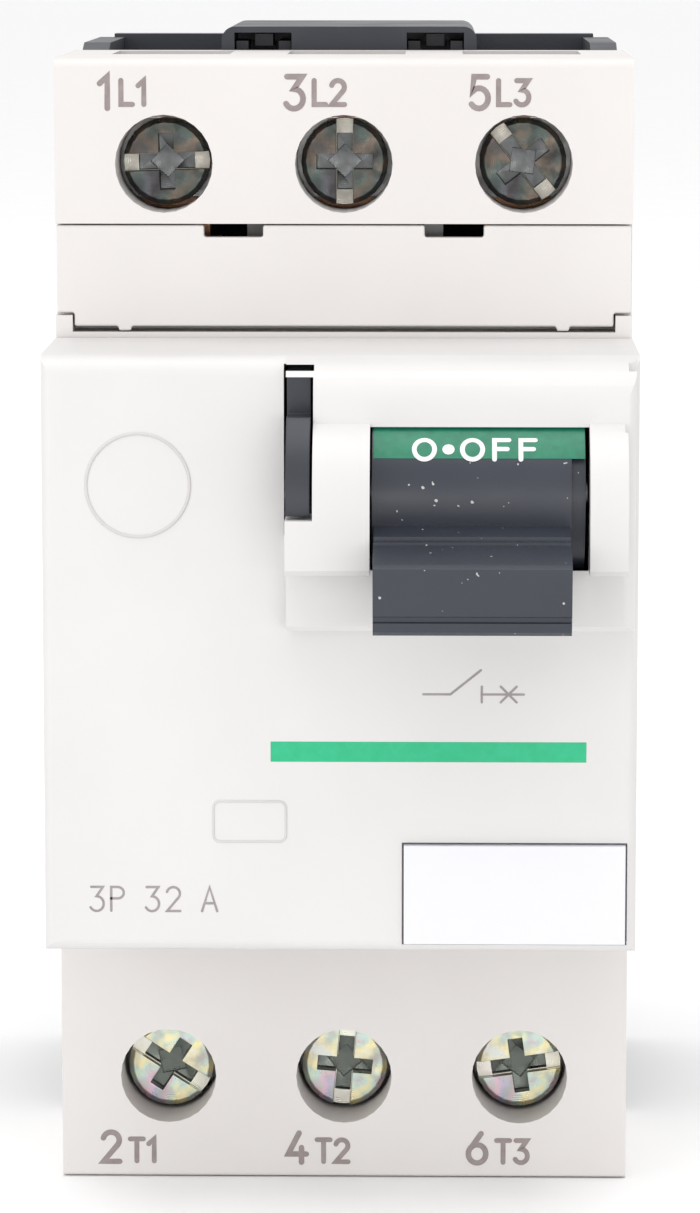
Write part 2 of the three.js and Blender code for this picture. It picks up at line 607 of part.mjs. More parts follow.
// From the coil's tail, forward and down to the lower terminal's tab.
function loadBusbar(x) {
  const rear = COIL_Y[1];
  return profileX(
    [
      [TAB_FRONT, -41],
      [TAB_FRONT, -27],
      [rear - PLATE, -27],
      [rear - PLATE, -25.6],
      [rear, -25.6],
      [rear, -27 - PLATE],
      [TAB_FRONT + PLATE, -27 - PLATE],
      [TAB_FRONT + PLATE, -41],
    ],
    [x - HALF_BAR, x + HALF_BAR],
  );
}

// A close-wound coil of heavy wire, as one ribbed ring about the plunger's bore.
function coil() {
  const turns = 4;
  const [inner, outer] = [2.6, 5.1];
  const length = COIL_Y[1] - COIL_Y[0];
  const pitch = length / turns;
  const profile = [new THREE.Vector2(inner, 0)];
  for (let turn = 0; turn < turns; turn++) {
    for (const [rise, radius] of [[0.03, outer - 0.8], [0.3, outer], [0.7, outer], [0.97, outer - 0.8]]) {
      profile.push(new THREE.Vector2(radius, (turn + rise) * pitch));
    }
  }
  profile.push(new THREE.Vector2(inner, length), new THREE.Vector2(inner, 0));
  return new THREE.LatheGeometry(profile, 14);
}

// The iron core that strikes the trip bar: a bright striker on a thicker body, pointing to -Y.
function plunger(x) {
  return join(barY(2.3, [-23.5, -12.5], x, COIL_Z, 20), barY(0.9, [-27.6, -23.4], x, COIL_Z, 12));
}

// Five steel splitter plates held between two fibre cheeks.
function arcChute(x) {
  const z = [13.2, 25.4];
  const plates = [-20.6, -18.6, -16.6, -14.6, -12.6].map((y) => {
    const plate = block([x - 4.1, x + 4.1], [y, y + 0.7], z);
    return cut(plate, block([x - 1.4, x + 1.4], [y - 1, y + 1], [z[0] - 1, z[0] + 3.5]));
  });
  const cheeks = [-1, 1].map((s) => block([x + s * 4.3 - 0.3, x + s * 4.3 + 0.3], [-21.2, -11.4], z));
  return join(...plates, ...cheeks);
}

// The bar that any pole's plunger turns: a shaft, one paddle in each pole, and an arm up to the latch.
function tripBar() {
  const [y, z] = TRIP_AXIS;
  const shaft = barX(1.5, [-19.8, 19.8], y, z, 16);
  const paddles = POLES.map((x) =>
    profileX(
      [[y - 1.2, z], [y + 1.2, z], [-30.2, -18.6], [-30.2, -22.4], [-31.5, -22.4], [-31.5, -19]],
      [x - 2.4, x + 2.4],
    ),
  );
  const arm = profileX([[y - 1.2, z], [y + 1.2, z], [y + 0.2, -10.2], [y - 1.2, -10.2]], [13.1, 14.9]);
  return join(shaft, ...paddles, arm);
}

function latchLever() {
  const [y, z] = LATCH_AXIS;
  const outline = [
    [y - 2.2, z + 2],
    [y + 1.6, z + 2.4],
    [y + 2.4, z - 1],
    [-36, -9.6],
    [-36, -11],
    [-37.6, -11],
    [y - 2.4, z - 1.6],
  ];
  return cut(profileX(outline, [13.2, 14.8]), barX(1.1, [10, 20], y, z, 16));
}

// The folded steel bracket that holds the latch's pin.
function mechanismFrame() {
  const [y, z] = LATCH_AXIS;
  const sides = [11.9, 15.3].map((x) => block([x, x + 0.8], [y - 3.4, y + 4], [z - 4, z + 5]));
  const web = block([11.9, HALF_WIDTH - WALL - 0.1], [y - 4.2, y - 3.3], [z - 4, z + 5]);
  return cut(join(...sides, web), barX(1.1, [10, 20], y, z, 16));
}

// ---------------------------------------------------------------- terminals, fasteners and the rail clip
// A combination screw, its head at y = 0 and its tip towards +Y.
function terminalScrew() {
  const length = TAB_FRONT - SCREW_HEAD_FACE - 0.3;
  const profile = [[0, 0], [3.05, 0], [SCREW_HEAD_RADIUS, 0.3], [SCREW_HEAD_RADIUS, SCREW_HEAD_HEIGHT]];
  profile.push([SCREW_SHANK_RADIUS, SCREW_HEAD_HEIGHT], [SCREW_SHANK_RADIUS, length - 0.5], [1.5, length], [0, length]);
  const turned = new THREE.LatheGeometry(profile.map(([r, y]) => new THREE.Vector2(r, y)), 24);
  const slot = block([-4, 4], [-1, 0.75], [-0.68, 0.68]);
  const cross = [block([-2.2, 2.2], [-1, 1.5], [-0.6, 0.6]), block([-0.6, 0.6], [-1, 1.5], [-2.2, 2.2])];
  const fillets = solid(new THREE.CylinderGeometry(1.35, 0.95, 2.5, 4).translate(0, 0.5, 0));
  return cut(solid(turned), slot, ...cross, fillets);
}

const CAGE_FRONT = TAB_FRONT - 2.6;
const CAGE_REAR = -23.6;

// A clamp ring, threaded on its screw: the conductor goes between the tab and the ring's rear wall.
function terminalCage(x, z) {
  const height = 3.2;
  const ring = block([x - 4.3, x + 4.3], [CAGE_FRONT, CAGE_REAR], [z - height, z + height]);
  const mouth = block([x - 3.3, x + 3.3], [CAGE_FRONT + 2, CAGE_REAR - 1.5], [z - 5, z + 5]);
  return cut(ring, mouth, barY(SCREW_SHANK_RADIUS + 0.15, [CAGE_FRONT - 1, CAGE_FRONT + 3], x, z, 12));
}

function caseScrew(x, z) {
  const head = barY(2, [REAR_FACE - 1.9, REAR_FACE - 0.3], x, z, 20);
  const shank = barY(1.05, [-33, REAR_FACE - 1.8], x, z, 10);
  const slot = block([x - 3, x + 3], [REAR_FACE - 1.2, REAR_FACE + 1], [z - 0.35, z + 0.35]);
  return cut(join(head, shank), slot);
}

const CLIP_WINDOW_Z = [-37.6, -27];

// The sliding foot that grips the rail's lower edge.
function railClip() {
  const plate = block([-CLIP_HALF_WIDTH, CLIP_HALF_WIDTH], CLIP_Y, [-HOUSING_HALF_HEIGHT + 0.1, -RAIL_HALF + 1.5]);
  const nose = profileX(
    [[CLIP_Y[0], -16.2], [CLIP_Y[1], -18.6], [CLIP_Y[1] + 1, -18.6], [CLIP_Y[1] + 1, -14], [CLIP_Y[0], -14]],
    [-6, 6],
  );
  const window = block([-2, 2], [0, 6], CLIP_WINDOW_Z);
  const driverSlot = block([-1.8, 1.8], [0, 6], [-42.4, -41]);
  return cut(plate, nose, window, driverSlot);
}

// ---------------------------------------------------------------- build
add("rear_base", rearBase(), BASE_GREY);
add("housing", housing(), HOUSING_IVORY);
add("front_cover", frontCover(), COVER_WHITE);
add("accessory_cover", accessoryCover(), HOUSING_IVORY);
add("marker_plate", markerPlate(), LABEL_WHITE);

add("rocker", rocker(), ROCKER_GREY);
add("rocker_shaft", barX(SHAFT_RADIUS, [-4.6, 20.1], ROCKER_Y, ROCKER_Z, 16), STEEL);
add("side_lever", sideLever(), BASE_GREY);
add("crank_pin", barX(CRANK_PIN_RADIUS, [YOKE_X[0] - 2, YOKE_X[1] + 2], CRANK_Y, CRANK_Z, 16), STEEL);

add("drive_yoke", driveYoke(), STEEL);
add("contact_carrier", contactCarrier(), CARRIER_BROWN);
add("trip_bar", tripBar(), CARRIER_BROWN);
add("latch_lever", latchLever(), STEEL);
add("latch_pin", barX(1, [11.6, 16.4], ...LATCH_AXIS, 16), STEEL);
add("mechanism_frame", mechanismFrame(), STEEL);

POLES.forEach((x, i) => {
  const pole = i + 1;
  add(`contact_bridge_${pole}`, contactBridge(x), COPPER);
  add(`line_busbar_${pole}`, lineBusbar(x), COPPER);
  add(`fixed_contact_${pole}`, fixedContact(x), COPPER);
  add(`load_busbar_${pole}`, loadBusbar(x), COPPER);
  add(`arc_chute_${pole}`, arcChute(x), FIBRE);
  add(`plunger_${pole}`, plunger(x), ZINC);
  add(`coil_${pole}`, coil(), COPPER).position.set(x, COIL_Y[0], COIL_Z);
  const spring = add(`contact_spring_${pole}`, springGeometry(1.9, 0.35, 6.1, 3), SPRING_STEEL);
  spring.rotation.x = -Math.PI / 2;
  spring.position.set(x, -25.15, 0);
});

for (const [side, x] of [["left", POLES[0]], ["right", POLES[2]]]) {
  const spring = add(`opening_spring_${side}`, springGeometry(2.4, 0.4, 13, 5), SPRING_STEEL);
  spring.rotation.x = -Math.PI / 2;
  spring.position.set(x, CARRIER_REAR + 0.6, 0);
}

// Where each screw happened to stop turning, in degrees from a level slot.
const SCREW_TURNS = { upper: [2, 90, -52], lower: [-33, 85, 8] };
for (const [row, side] of [["upper", 1], ["lower", -1]]) {
  POLES.forEach((x, i) => {
    const screw = add(`terminal_screw_${row}_${i + 1}`, terminalScrew(), ZINC);
    screw.position.set(x, SCREW_HEAD_FACE, side * SCREW_Z);
    screw.rotation.y = -radians(SCREW_TURNS[row][i]);
    add(`terminal_cage_${row}_${i + 1}`, terminalCage(x, side * SCREW_Z), STEEL);
  });
}

CASE_SCREWS.forEach(([x, z], i) => add(`case_screw_${i + 1}`, caseScrew(x, z), ZINC));

add("rail_clip", railClip(), BASE_GREY);
const clipSpring = add("rail_clip_spring", springGeometry(1, 0.25, 8.2, 5), SPRING_STEEL);
clipSpring.position.set(0, (CLIP_Y[0] + CLIP_Y[1]) / 2, CLIP_LUG_Z[1] + 0.4);

export default breaker;
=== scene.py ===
"""Looks of the three-pole motor protection breaker: finer meshes, finishes, printed marks and lights."""
import json
import math

import bmesh
import bpy
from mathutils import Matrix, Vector


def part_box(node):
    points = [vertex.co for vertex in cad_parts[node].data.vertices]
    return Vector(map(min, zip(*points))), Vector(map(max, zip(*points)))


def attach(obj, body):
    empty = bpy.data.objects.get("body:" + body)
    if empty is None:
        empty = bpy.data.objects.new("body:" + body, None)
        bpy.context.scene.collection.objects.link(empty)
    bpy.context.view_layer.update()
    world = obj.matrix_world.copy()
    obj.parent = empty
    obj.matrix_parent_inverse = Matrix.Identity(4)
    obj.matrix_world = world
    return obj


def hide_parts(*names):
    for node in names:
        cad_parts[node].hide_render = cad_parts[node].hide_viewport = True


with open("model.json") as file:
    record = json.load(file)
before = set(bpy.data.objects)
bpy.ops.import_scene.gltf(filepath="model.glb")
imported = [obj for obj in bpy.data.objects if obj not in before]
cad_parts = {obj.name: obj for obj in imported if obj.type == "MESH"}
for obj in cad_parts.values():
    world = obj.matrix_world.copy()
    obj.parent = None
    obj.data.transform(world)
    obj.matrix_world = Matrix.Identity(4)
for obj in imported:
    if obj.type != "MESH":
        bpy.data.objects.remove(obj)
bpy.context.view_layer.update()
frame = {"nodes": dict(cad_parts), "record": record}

MM = 0.001
TERMINAL_Y = -45  # the face with the terminals, in mm
COVER_Y = -61  # the front cover's face, in mm
DRUM_RADIUS = 7.0
INK_LIFT = 0.012  # how far ink stands off its surface, in mm
BODY_OF = {node: body for body, nodes in frame["record"]["behaviour"]["bodies"].items() for node in nodes}
SLOT_OF = {part["node"]: part["material_slot"] for part in frame["record"]["subparts"]}
scene = bpy.context.scene


# ---------------------------------------------------------------- camera
def make_camera():
    data = bpy.data.cameras.new("camera")
    data.sensor_width = 36
    data.lens = 143.7
    data.clip_start = 0.01
    data.clip_end = 20
    camera = bpy.data.objects.new("camera", data)
    scene.collection.objects.link(camera)
    azimuth, elevation = math.radians(0.998), math.radians(8.059)
    back = Vector((
        math.sin(azimuth) * math.cos(elevation),
        -math.cos(azimuth) * math.cos(elevation),
        math.sin(elevation),
    ))
    aim = Vector((0.764, -61, 3.836)) * MM
    camera.location = aim + back * 364.975 * MM
    camera.rotation_mode = "QUATERNION"
    camera.rotation_quaternion = (-back).to_track_quat("-Z", "Y")
    scene.camera = camera


# ---------------------------------------------------------------- finishes
class Finish:
    """A Principled material whose colour, roughness and surface vary with procedural noise."""

    def __init__(self, name, roughness=0.5, metallic=0.0, specular=0.5):
        self.material = bpy.data.materials.new(name)
        self.material.use_nodes = True
        self.tree = self.material.node_tree
        self.shader = self.tree.nodes["Principled BSDF"]
        self.shader.inputs["Roughness"].default_value = roughness
        self.shader.inputs["Metallic"].default_value = metallic
        self.shader.inputs["Specular IOR Level"].default_value = specular
        self.coords = self.tree.nodes.new("ShaderNodeTexCoord").outputs["Object"]
        self.height = None

    def node(self, kind, **values):
        made = self.tree.nodes.new(kind)
        for key, value in values.items():
            made.inputs[key].default_value = value
        return made

    def link(self, source, target):
        self.tree.links.new(source, target)

    def noise(self, scale, detail=3.0, stretch=(1, 1, 1)):
        mapping = self.node("ShaderNodeMapping", Scale=stretch)
        texture = self.node("ShaderNodeTexNoise", Scale=scale, Detail=detail)
        self.link(self.coords, mapping.inputs["Vector"])
        self.link(mapping.outputs["Vector"], texture.inputs["Vector"])
        return texture.outputs["Fac"]

    def remap(self, value, low, high, to_low, to_high):
        made = self.node("ShaderNodeMapRange")
        for index, number in enumerate((low, high, to_low, to_high), start=1):
            made.inputs[index].default_value = number
        self.link(value, made.inputs[0])
        return made.outputs[0]

    def mix(self, factor, first, second):
        made = self.tree.nodes.new("ShaderNodeMix")
        made.data_type = "RGBA"
        self.link(factor, made.inputs[0])
        for socket, colour in ((made.inputs[6], first), (made.inputs[7], second)):
            if isinstance(colour, tuple):
                socket.default_value = (*colour, 1)
            else:
                self.link(colour, socket)
        return made.outputs[2]

    def colour(self, source):
        self.link(source, self.shader.inputs["Base Color"])
        return self

    def rough(self, scale, low, high, detail=3.0):
        self.link(self.remap(self.noise(scale, detail), 0.3, 0.7, low, high), self.shader.inputs["Roughness"])
        return self

    def bump(self, value, distance, strength=1.0):
        made = self.node("ShaderNodeBump", Strength=strength, Distance=distance)
        self.link(value, made.inputs["Height"])
        if self.height:
            self.link(self.height, made.inputs["Normal"])
        self.height = made.outputs["Normal"]
        self.link(self.height, self.shader.inputs["Normal"])
        return self


def moulding(name, light, dark, roughness, texture=0.000004, specks=None, grain=2600):
    """Fine-textured moulded plastic: faint mottling, slight gloss changes, and dust specks on request."""
    made = Finish(name, roughness)
    colour = made.mix(made.remap(made.noise(70, 4), 0.35, 0.65, 0, 1), light, dark)
    if specks:
        dust = made.remap(made.noise(1900, 1), 0.765, 0.78, 0, 1)
        colour = made.mix(dust, colour, specks)
    made.colour(colour)
    made.rough(160, roughness - 0.05, roughness + 0.06)
    made.bump(made.noise(grain, 2), texture)
    made.bump(made.noise(45, 2), 0.00002, 0.25)
    return made.material


def ink(name, light, dark, roughness=0.5):
    """Pad-printed ink with thin spots."""
    made = Finish(name, roughness)
    made.colour(made.mix(made.remap(made.noise(1500, 2), 0.35, 0.75, 0, 1), light, dark))
    made.rough(800, roughness - 0.06, roughness + 0.08)
    made.bump(made.noise(3500, 2), 0.000003)
    return made.material


def metal(name, light, dark, roughness, stretch=(1, 1, 1), scratches=0.000005, scale=900):
    """Stamped or drawn metal: drawn streaks, stains and small scratches."""
    made = Finish(name, roughness, metallic=1)
    stains = made.remap(made.noise(220, 5), 0.35, 0.65, 0, 1)
    made.colour(made.mix(stains, light, dark))
    made.rough(500, roughness - 0.1, roughness + 0.12, 4)
    made.bump(made.noise(scale, 3, stretch), scratches)
    return made.material


def plating(name, tints, roughness, base, painted_slot_highlight, painted_recess_shade):
    """Zinc plating with the yellow, pink and green bands of a passivation layer, turned on a lathe, with a
    painted highlight on the slot floor and painted shade in the deeper recess.
    """
    made = Finish(name, roughness, metallic=1)
    bands = made.tree.nodes.new("ShaderNodeValToRGB")
    ramp = bands.color_ramp
    for index, (place, tint) in enumerate(tints):
        stop = ramp.elements[index] if index < 2 else ramp.elements.new(place)
        stop.position = place
        stop.color = (*tint, 1)
    made.link(made.noise(330, 2), bands.inputs["Fac"])
    soot = made.remap(made.noise(700, 4), 0.45, 0.7, 0, 1)
    head = made.mix(soot, bands.outputs["Color"], base)
    axes = made.node("ShaderNodeSeparateXYZ")
    made.link(made.coords, axes.inputs["Vector"])
    depth = axes.outputs["Y"]
    # Lighter colour at slot depth: a painted highlight on the slot floor.
    slotted = made.mix(made.remap(depth, 0.35 * MM, 0.6 * MM, 0, 0.8), head, painted_slot_highlight)
    # Darker colour further in: painted shade in the recess.
    made.colour(made.mix(made.remap(depth, 0.8 * MM, 1.1 * MM, 0, 0.9), slotted, painted_recess_shade))
    made.rough(900, roughness - 0.1, roughness + 0.15, 4)
    rings = made.tree.nodes.new("ShaderNodeTexWave")
    rings.wave_type = "RINGS"
    rings.rings_direction = "Y"
    rings.inputs["Scale"].default_value = 2200
    rings.inputs["Distortion"].default_value = 1.5
    made.link(made.coords, rings.inputs["Vector"])
    made.bump(rings.outputs["Fac"], 0.000004)
    made.bump(made.noise(1800, 3), 0.00001)
    return made.material


def make_finishes():
    zinc_light = [
        (0.36, (0.60, 0.62, 0.58)), (0.62, (0.64, 0.42, 0.50)),
        (0.46, (0.74, 0.66, 0.38)), (0.54, (0.46, 0.60, 0.54)), (0.70, (0.36, 0.42, 0.62)),
    ]
    # Darker copy of the zinc bands for the upper screws: painted shade.
    zinc_painted_shade = [
        (0.35, (0.070, 0.066, 0.064)), (0.65, (0.085, 0.085, 0.095)),
        (0.45, (0.125, 0.100, 0.080)), (0.55, (0.070, 0.090, 0.082)),
    ]
    dust = (0.45, 0.45, 0.43)
    return {
        "cover_white": moulding("cover_white", (0.645, 0.632, 0.626), (0.625, 0.612, 0.606), 0.42),
        "housing_ivory": moulding("housing_ivory", (0.665, 0.638, 0.622), (0.645, 0.617, 0.601), 0.45),
        "label_white": moulding("label_white", (0.70, 0.70, 0.735), (0.685, 0.685, 0.722), 0.35, 0.000002),
        # Darker copy of the cover plastic for the moulded ridges: painted shade.
        "ridge_painted_shade": moulding("ridge_painted_shade", (0.56, 0.545, 0.535), (0.53, 0.515, 0.505), 0.42),
        "base_grey": moulding("base_grey", (0.026, 0.030, 0.040), (0.021, 0.024, 0.033), 0.42, 0.00001),
        "rocker_grey": moulding(
            "rocker_grey", (0.028, 0.033, 0.046), (0.023, 0.027, 0.039), 0.38, 0.000006, dust),
        "carrier_brown": moulding("carrier_brown", (0.10, 0.065, 0.045), (0.075, 0.05, 0.036), 0.55, 0.00002),
        "fibre": moulding("fibre", (0.32, 0.26, 0.19), (0.26, 0.21, 0.15), 0.7, 0.00003),
        # The last two colours of each plating are a painted highlight on the slot floors and painted shade in
        # the recesses.
        "zinc": plating(
            "zinc", zinc_light, 0.30, (0.42, 0.40, 0.36), (0.72, 0.70, 0.62), (0.06, 0.075, 0.07)),
        "zinc_painted_shade": plating(
            "zinc_painted_shade", zinc_painted_shade, 0.32, (0.05, 0.046, 0.044), (0.34, 0.32, 0.28), (0.10, 0.105, 0.11)),
        "steel": metal("steel", (0.62, 0.62, 0.61), (0.50, 0.49, 0.47), 0.36, (1, 1, 8)),
        "spring_steel": metal("spring_steel", (0.52, 0.52, 0.53), (0.38, 0.37, 0.36), 0.3),
        "copper": metal("copper", (0.80, 0.44, 0.26), (0.62, 0.33, 0.20), 0.35, (1, 1, 6)),
        "grey_ink": ink("grey_ink", (0.235, 0.195, 0.19), (0.29, 0.25, 0.24)),
        "line_ink": ink("line_ink", (0.26, 0.235, 0.23), (0.32, 0.29, 0.28)),
        "green_ink": ink("green_ink", (0.006, 0.40, 0.18), (0.012, 0.43, 0.21), 0.42),
        "band_green": ink("band_green", (0.012, 0.19, 0.105), (0.010, 0.15, 0.085), 0.4),
        "white_ink": ink("white_ink", (0.74, 0.75, 0.74), (0.62, 0.65, 0.63), 0.45),
        "floor": moulding("floor", (0.94, 0.94, 0.94), (0.93, 0.93, 0.93), 0.8, 0.000002),
    }


# ---------------------------------------------------------------- meshes
def add_object(name, mesh, material=None):
    made = bpy.data.objects.new(name, mesh)
    scene.collection.objects.link(made)
    if material:
        mesh.materials.clear()
        mesh.materials.append(material)
    return made


def refined(node, material, width, segments=3, centre=None):
    """A copy of a CAD node with flat faces made whole, edges rounded and curved walls shaded smooth."""
    work = bmesh.new()
    work.from_mesh(frame["nodes"][node].data)
    bmesh.ops.remove_doubles(work, verts=work.verts, dist=0.002 * MM)
    flat = math.radians(0.6)
    bmesh.ops.dissolve_limit(work, angle_limit=flat, verts=work.verts, edges=work.edges)
    bmesh.ops.connect_verts_concave(work, faces=work.faces)
    for face in work.faces:
        face.smooth = True
    if centre:
        bmesh.ops.translate(work, verts=work.verts, vec=-Vector(centre))
    mesh = bpy.data.meshes.new(node + "_fine")
    work.to_mesh(mesh)
    work.free()
    piece = add_object(node + "_fine", mesh, material)
    if centre:
        piece.location = centre
    if width:
        bevel = piece.modifiers.new("round edges", "BEVEL")
        bevel.width = width * MM
        bevel.segments = segments
        bevel.limit_method = "ANGLE"
        bevel.angle_limit = math.radians(28)
        bevel.miter_outer = "MITER_ARC"
        bevel.use_clamp_overlap = True
    normals = piece.modifiers.new("even shading", "WEIGHTED_NORMAL")
    normals.keep_sharp = True
    normals.weight = 60
    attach(piece, BODY_OF[node])
    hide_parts(node)
    return piece


EDGE_WIDTHS = {
    "front_cover": 0.22, "housing": 0.25, "rear_base": 0.3, "accessory_cover": 0.18, "marker_plate": 0.04,
    "rocker": 0.1, "side_lever": 0.2, "rail_clip": 0.25, "contact_carrier": 0.2, "drive_yoke": 0.12,
    "trip_bar": 0.15, "latch_lever": 0.1, "mechanism_frame": 0.08,
}


def refine_nodes(finishes):
    for node, slot in SLOT_OF.items():
        if node.startswith("terminal_screw"):
            low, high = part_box(node)
            centre = Vector(((low[0] + high[0]) / 2, low[1], (low[2] + high[2]) / 2))
            # The upper screws get the darker plating copy, a painted shade.
            finish = finishes["zinc_painted_shade" if "upper" in node else "zinc"]
            refined(node, finish, 0.13, 3, centre)
        elif "spring" in node:
            refined(node, finishes[slot], 0)
        else:
            refined(node, finishes[slot], EDGE_WIDTHS.get(node, 0.1), 3 if node in EDGE_WIDTHS else 2)


# ---------------------------------------------------------------- printed marks
def arc(cx, cz, rx, rz, start, end, steps=10):
    angles = [math.radians(start + (end - start) * i / steps) for i in range(steps + 1)]
    return [(cx + rx * math.cos(a), cz + rz * math.sin(a)) for a in angles]


# Single-stroke characters in a box 1 high; each is (width, strokes).
GLYPHS = {
    "0": (0.56, [arc(0.28, 0.5, 0.28, 0.5, 0, 360, 24)]),
    "1": (0.26, [[(0, 0.78), (0.24, 1), (0.24, 0)]]),
    "2": (0.56, [arc(0.28, 0.73, 0.27, 0.27, 165, -35, 12) + [(0.02, 0), (0.56, 0)]]),
    "3": (0.56, [[(0.04, 1), (0.52, 1), (0.26, 0.61)] + arc(0.26, 0.3, 0.29, 0.31, 90, -150, 14)]),
    "4": (0.60, [[(0.36, 1), (0.0, 0.28), (0.6, 0.28)], [(0.44, 0.5), (0.44, 0)]]),
    "5": (0.56, [[(0.52, 1), (0.1, 1), (0.05, 0.52)] + arc(0.26, 0.32, 0.29, 0.32, 115, -145, 14)]),
    "6": (0.58, [[(0.42, 1), (0.10, 0.53)], arc(0.29, 0.31, 0.29, 0.31, 0, 360, 28)]),
    "A": (0.62, [[(0, 0), (0.31, 1), (0.62, 0)], [(0.11, 0.33), (0.51, 0.33)]]),
    "F": (0.50, [[(0, 0), (0, 1), (0.5, 1)], [(0, 0.52), (0.44, 0.52)]]),
    "I": (0.04, [[(0.02, 0), (0.02, 1)]]),
    "L": (0.48, [[(0, 1), (0, 0), (0.48, 0)]]),
    "N": (0.58, [[(0, 0), (0, 1), (0.58, 0), (0.58, 1)]]),
    "O": (0.70, [arc(0.35, 0.5, 0.35, 0.5, 0, 360, 28)]),
    "P": (0.52, [[(0, 0), (0, 1), (0.27, 1)] + arc(0.27, 0.76, 0.25, 0.24, 90, -90, 10) + [(0, 0.52)]]),
    "T": (0.58, [[(0, 1), (0.58, 1)], [(0.29, 1), (0.29, 0)]]),
    ".": (0.14, [[(0.05, 0.5), (0.09, 0.5)]]),
    " ": (0.30, []),
}


def ribbon(stroke, half):
    """The outline of a stroke drawn with a round-ended pen, as one polygon strip of (left, right) points."""
    points = [Vector(p) for p in stroke]
    points = [p for i, p in enumerate(points) if i == 0 or (p - points[i - 1]).length > 1e-4]
    closed = (points[0] - points[-1]).length < 1e-6
    rims = []
    for index, point in enumerate(points):
        before = points[index - 1] if index else (points[-2] if closed else None)
        after = points[index + 1] if index + 1 < len(points) else (points[1] if closed else None)
        one = (point - before).normalized() if before is not None else None
        two = (after - point).normalized() if after is not None else None
        one, two = one or two, two or one
        along = (one + two).normalized() if (one + two).length > 1e-6 else one
        across = Vector((-along.y, along.x))
        reach = half / max(0.45, along.dot(one))
        rims.append((point + across * reach, point - across * reach))
    caps = []
    if not closed:
        for point, towards in ((points[0], points[0] - points[1]), (points[-1], points[-1] - points[-2])):
            turn = math.atan2(towards.y, towards.x)
            caps.append([
                point + half * Vector((math.cos(turn + a), math.sin(turn + a)))
                for a in [math.radians(d) for d in range(-90, 91, 30)]
            ])
    return rims, caps


def printed(name, strokes, place, material, body, surface):
    """Flat ink strokes. place maps a drawn point and a lift in mm to a point in the row frame, in mm."""
    work = bmesh.new()
    for index, (stroke, half) in enumerate(strokes):
        rims, caps = ribbon(stroke, half)
        lift = INK_LIFT + 0.0015 * (index % 6)
        sides = [[work.verts.new(Vector(place(p, lift)) * MM) for p in pair] for pair in rims]
        for one, two in zip(sides, sides[1:]):
            work.faces.new((one[0], two[0], two[1], one[1]))
        for cap in caps:
            work.faces.new([work.verts.new(Vector(place(p, lift)) * MM) for p in cap])
    bmesh.ops.recalc_face_normals(work, faces=work.faces)
    for face in work.faces:
        if face.normal.dot(Vector(surface)) < 0:
            face.normal_flip()
    mesh = bpy.data.meshes.new(name)
    work.to_mesh(mesh)
    work.free()
    piece = add_object(name, mesh, material)
    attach(piece, body)
    return piece


def subdivided(stroke, step):
    """The same stroke with no gap longer than step between its points."""
    points = [stroke[0]]
    for start, end in zip(stroke, stroke[1:]):
        count = max(1, math.ceil(math.dist(start, end) / step))
        for index in range(1, count + 1):
            share = index / count
            points.append((start[0] + (end[0] - start[0]) * share, start[1] + (end[1] - start[1]) * share))
    return points


def text_strokes(text, x, z, height, pen, spacing=0.24):
    """Strokes of a line of characters whose lower left corner is at x, z."""
    strokes = []
    for character in text:
        width, lines = GLYPHS[character]
        for line in lines:
            strokes.append(([(x + px * height, z + pz * height) for px, pz in line], pen / 2))
        x += (width + spacing) * height
    return strokes


def on_plane(y):
    return lambda point, lift: (point[0], y - lift, point[1])


def on_rocker(radius, axis_y=-58.1, axis_z=12.25):
    """Wraps drawn points round the drum: x stays, and the drawn height is an angle in degrees."""
    def place(point, lift):
        angle = math.radians(point[1])
        reach = radius + lift
        return (point[0], axis_y - reach * math.cos(angle), axis_z + reach * math.sin(angle))
    return place


FRONT = (0, -1, 0)
UPPER_MARKS = (((-18.95, -17.3), "1", "L1"), ((-4.5, -2.3), "3", "L2"), ((9.85, 12.0), "5", "L3"))
LOWER_MARKS = (((-19.3, -17.1), "2", "T1"), ((-4.45, -2.15), "4", "T2"), ((9.95, 12.2), "6", "T3"))


def print_marks(finishes):
    upper, lower = [], []
    for (x1, x2), number, mark in UPPER_MARKS:
        upper += text_strokes(number, x1, 40.6, 2.45, 0.45)
        upper += text_strokes(mark, x2, 40.9, 1.85, 0.4)
    for (x1, x2), number, mark in LOWER_MARKS:
        lower += text_strokes(number, x1, -43.35, 2.4, 0.45)
        lower += text_strokes(mark, x2, -43.3, 1.8, 0.4)
    ink_grey = finishes["grey_ink"]
    printed("upper_terminal_marks", upper, on_plane(TERMINAL_Y), ink_grey, "case", FRONT)
    printed("lower_terminal_marks", lower, on_plane(TERMINAL_Y), ink_grey, "case", FRONT)
    rating = text_strokes("3P 32 A", -19.0, -19.6, 1.85, 0.19, 0.3)
    printed("rating", rating, on_plane(COVER_Y), finishes["line_ink"], "case", FRONT)
    symbol = [
        ([(6.3, -2.85), (8.35, -2.85)], 0.09),
        ([(8.35, -2.85), (10.65, -1.0)], 0.09),
        ([(10.7, -2.85), (13.9, -2.85)], 0.09),
        ([(10.72, -2.25), (10.72, -3.45)], 0.09),
        ([(12.15, -2.25), (13.35, -3.45)], 0.09),
        ([(12.15, -3.45), (13.35, -2.25)], 0.09),
    ]
    printed("breaker_symbol", symbol, on_plane(COVER_Y), finishes["line_ink"], "case", FRONT)
    green = printed("green_bar", [], on_plane(COVER_Y), finishes["green_ink"], "case", FRONT)
    work = bmesh.new()
    corners = [(-5.25, -8.05), (18.65, -8.05), (18.65, -6.5), (-5.25, -6.5)]
    work.faces.new([work.verts.new(Vector((x, COVER_Y - INK_LIFT, z)) * MM) for x, z in corners])
    work.to_mesh(green.data)
    work.free()


